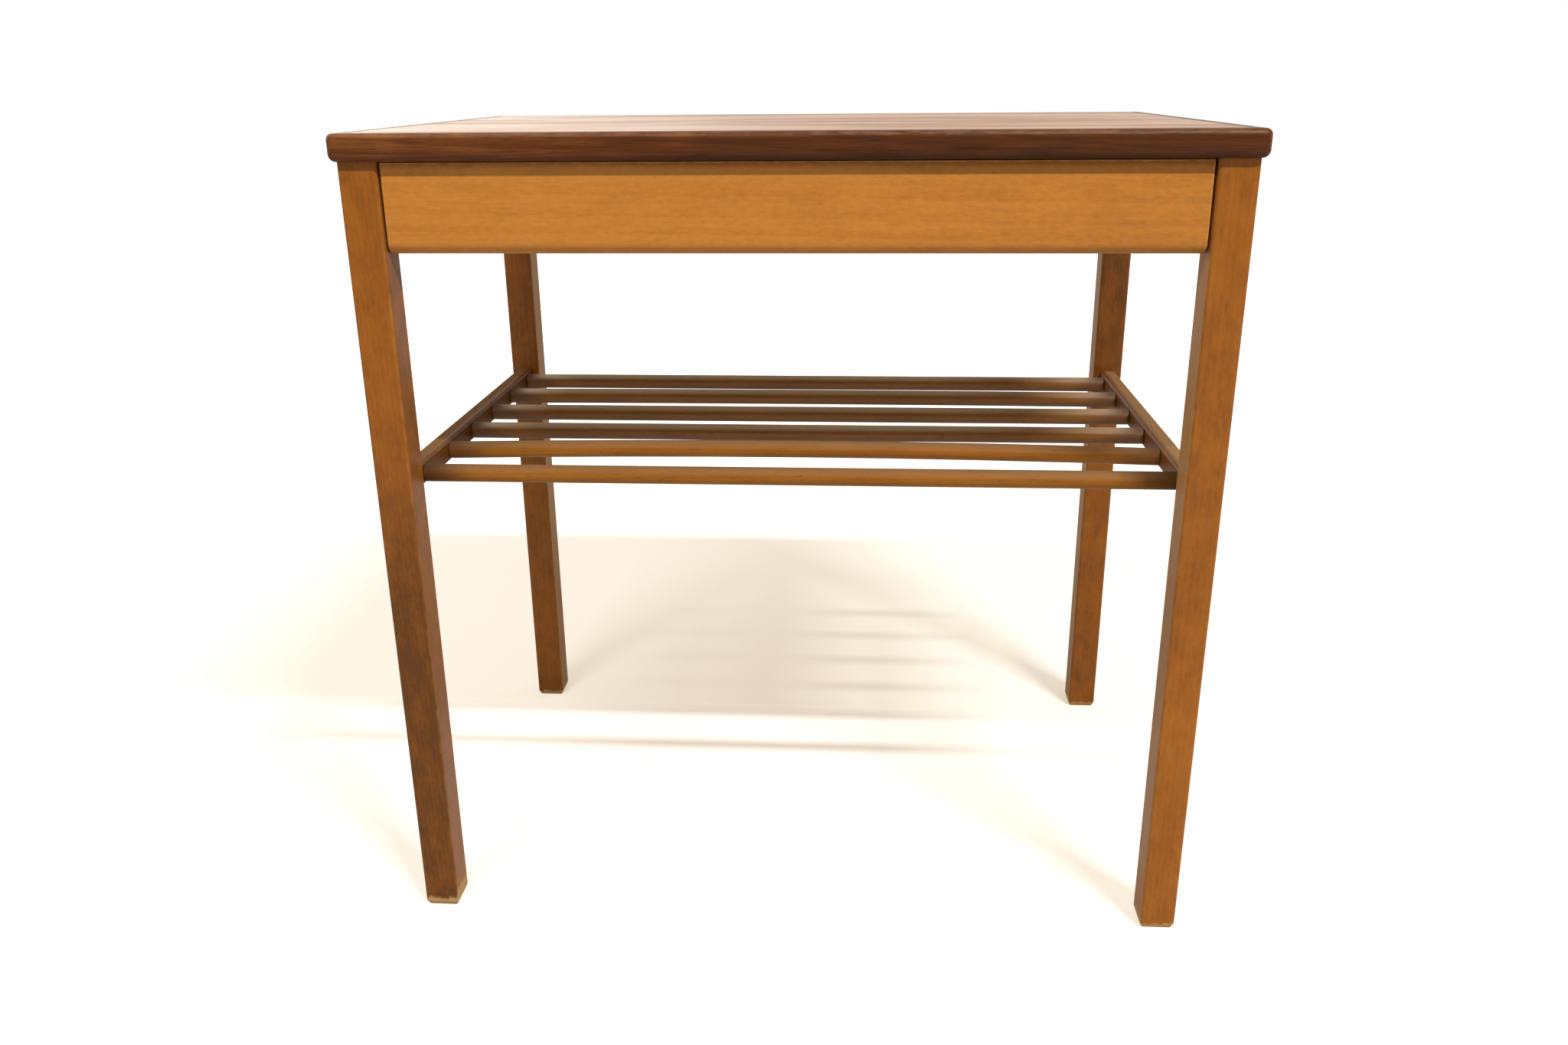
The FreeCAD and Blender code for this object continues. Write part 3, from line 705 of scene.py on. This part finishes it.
# The screws
# Zinc-plated steel, gone dull. Six hold the top's strips to the top, four hold the runners to
# the side aprons, and three plain nails hold the drawer bottom to the drawer back.
steel = (0.46, 0.46, 0.47)
dull_steel = (0.24, 0.23, 0.22)
dull_comes = (0.35, 0.70)
blotches_per_metre = 600.0
scratches_per_metre = 5000.0
scratch_depth = 0.00005
zinc_roughness = 0.32
blotch_roughness = 0.25


def zinc(name):
    """Dull plated steel with fine scratches and darker blotches."""
    finish = start_finish(name)
    place = Shade.node("TexCoord", {}, {}, output="Object")
    blotch = Shade.node("TexNoise", {}, {"Vector": place, "Scale": blotches_per_metre, "Detail": 4.0})
    scratch = Shade.node("TexNoise", {}, {"Vector": place, "Scale": scratches_per_metre, "Detail": 2.0})
    bump = Shade.node("Bump", {}, {"Strength": 0.4, "Distance": scratch_depth, "Height": scratch})
    surface = Shade.node("BsdfPrincipled", {}, {
        "Base Color": blend(step(blotch, *dull_comes), steel, dull_steel),
        "Metallic": 1.0,
        "Roughness": zinc_roughness + blotch * blotch_roughness,
        "Normal": bump,
    })
    Shade.node("OutputMaterial", {}, {"Surface": surface})
    return finish


for fixing in ("top_screws", "runner_screws", "drawer_bottom_nails"):
    dress(fixing, zinc("zinc_" + fixing))


# The drawer front
# One board of light beech, lacquered clear so that it has gone honey-coloured. It has no
# handle: its lower front edge is rounded, and it is pulled out by fingers hooked under it.
front_ring = 0.0034
front_stops = ((0.0, (0.200, 0.066, 0.007)), (0.5, (0.335, 0.123, 0.017)), (1.0, (0.420, 0.170, 0.030)))
worn_front = (0.52, 0.28, 0.10)
# Painted shade towards the right end, against the right lamp's stronger light, and painted shade just under
# the top
right_end_painted_shade = -0.16
right_end_comes = (-0.10, 0.24)
under_top_painted_shade = 0.62
upper_rim = (0.4750, 0.4798)
front_face = (-0.1590, -0.1606)


def front_tone(place):
    """Painted a little darker towards the board's right end, as painted shade against the right lamp, and
    painted shade just under the top.
    """
    under_top = step(place.along("Z"), *upper_rim) * step(place.along("Y"), *front_face)
    return step(place.along("X"), *right_end_comes) * right_end_painted_shade - under_top * under_top_painted_shade


dress("drawer_front", wood(
    "honey_beech", "X", (-0.02, 0.50), front_ring, front_stops, lean=(0.004, 0.003), swirl=0.005,
    ring_depth=0.07, fibre_depth=0.18, fleck_depth=0.05, fleck_spots=(0.25, 1100.0), mottle_depth=0.32,
    grit_depth=0.45, shift=front_tone, worn_box=grown("drawer_front"), worn_width=0.0012,
    worn_and_painted_colour=worn_front, worn_most=0.3))


# The drawer box
# Two grooved sides and a back of plain sanded beech, with a thin plywood bottom slid into the
# grooves and nailed up into the back.
box_stops = ((0.0, (0.360, 0.215, 0.105)), (0.5, (0.580, 0.400, 0.225)), (1.0, (0.700, 0.520, 0.330)))
worn_board = (0.66, 0.50, 0.31)
panel_ring = 0.006
panel_stops = ((0.0, (0.330, 0.180, 0.080)), (0.5, (0.520, 0.330, 0.170)), (1.0, (0.640, 0.450, 0.260)))
for board, grain in (("drawer_side_left", "Y"), ("drawer_side_right", "Y"), ("drawer_back", "X")):
    low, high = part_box(board)
    middle = (low + high) / 2
    dress(board, wood("sanded_beech_" + board, grain, heart_beside(middle, grain, 0.03, 0.07), beech_ring,
                      box_stops, lean=(0.012, 0.008), roughness=0.55, worn_box=grown(board),
                      worn_and_painted_colour=worn_board, worn_most=0.3))
dress("drawer_bottom", wood("plywood", "X", (0.05, 0.80), panel_ring, panel_stops, lean=(0.05, 0.02),
                            swirl=0.02, ring_depth=0.45, roughness=0.55))
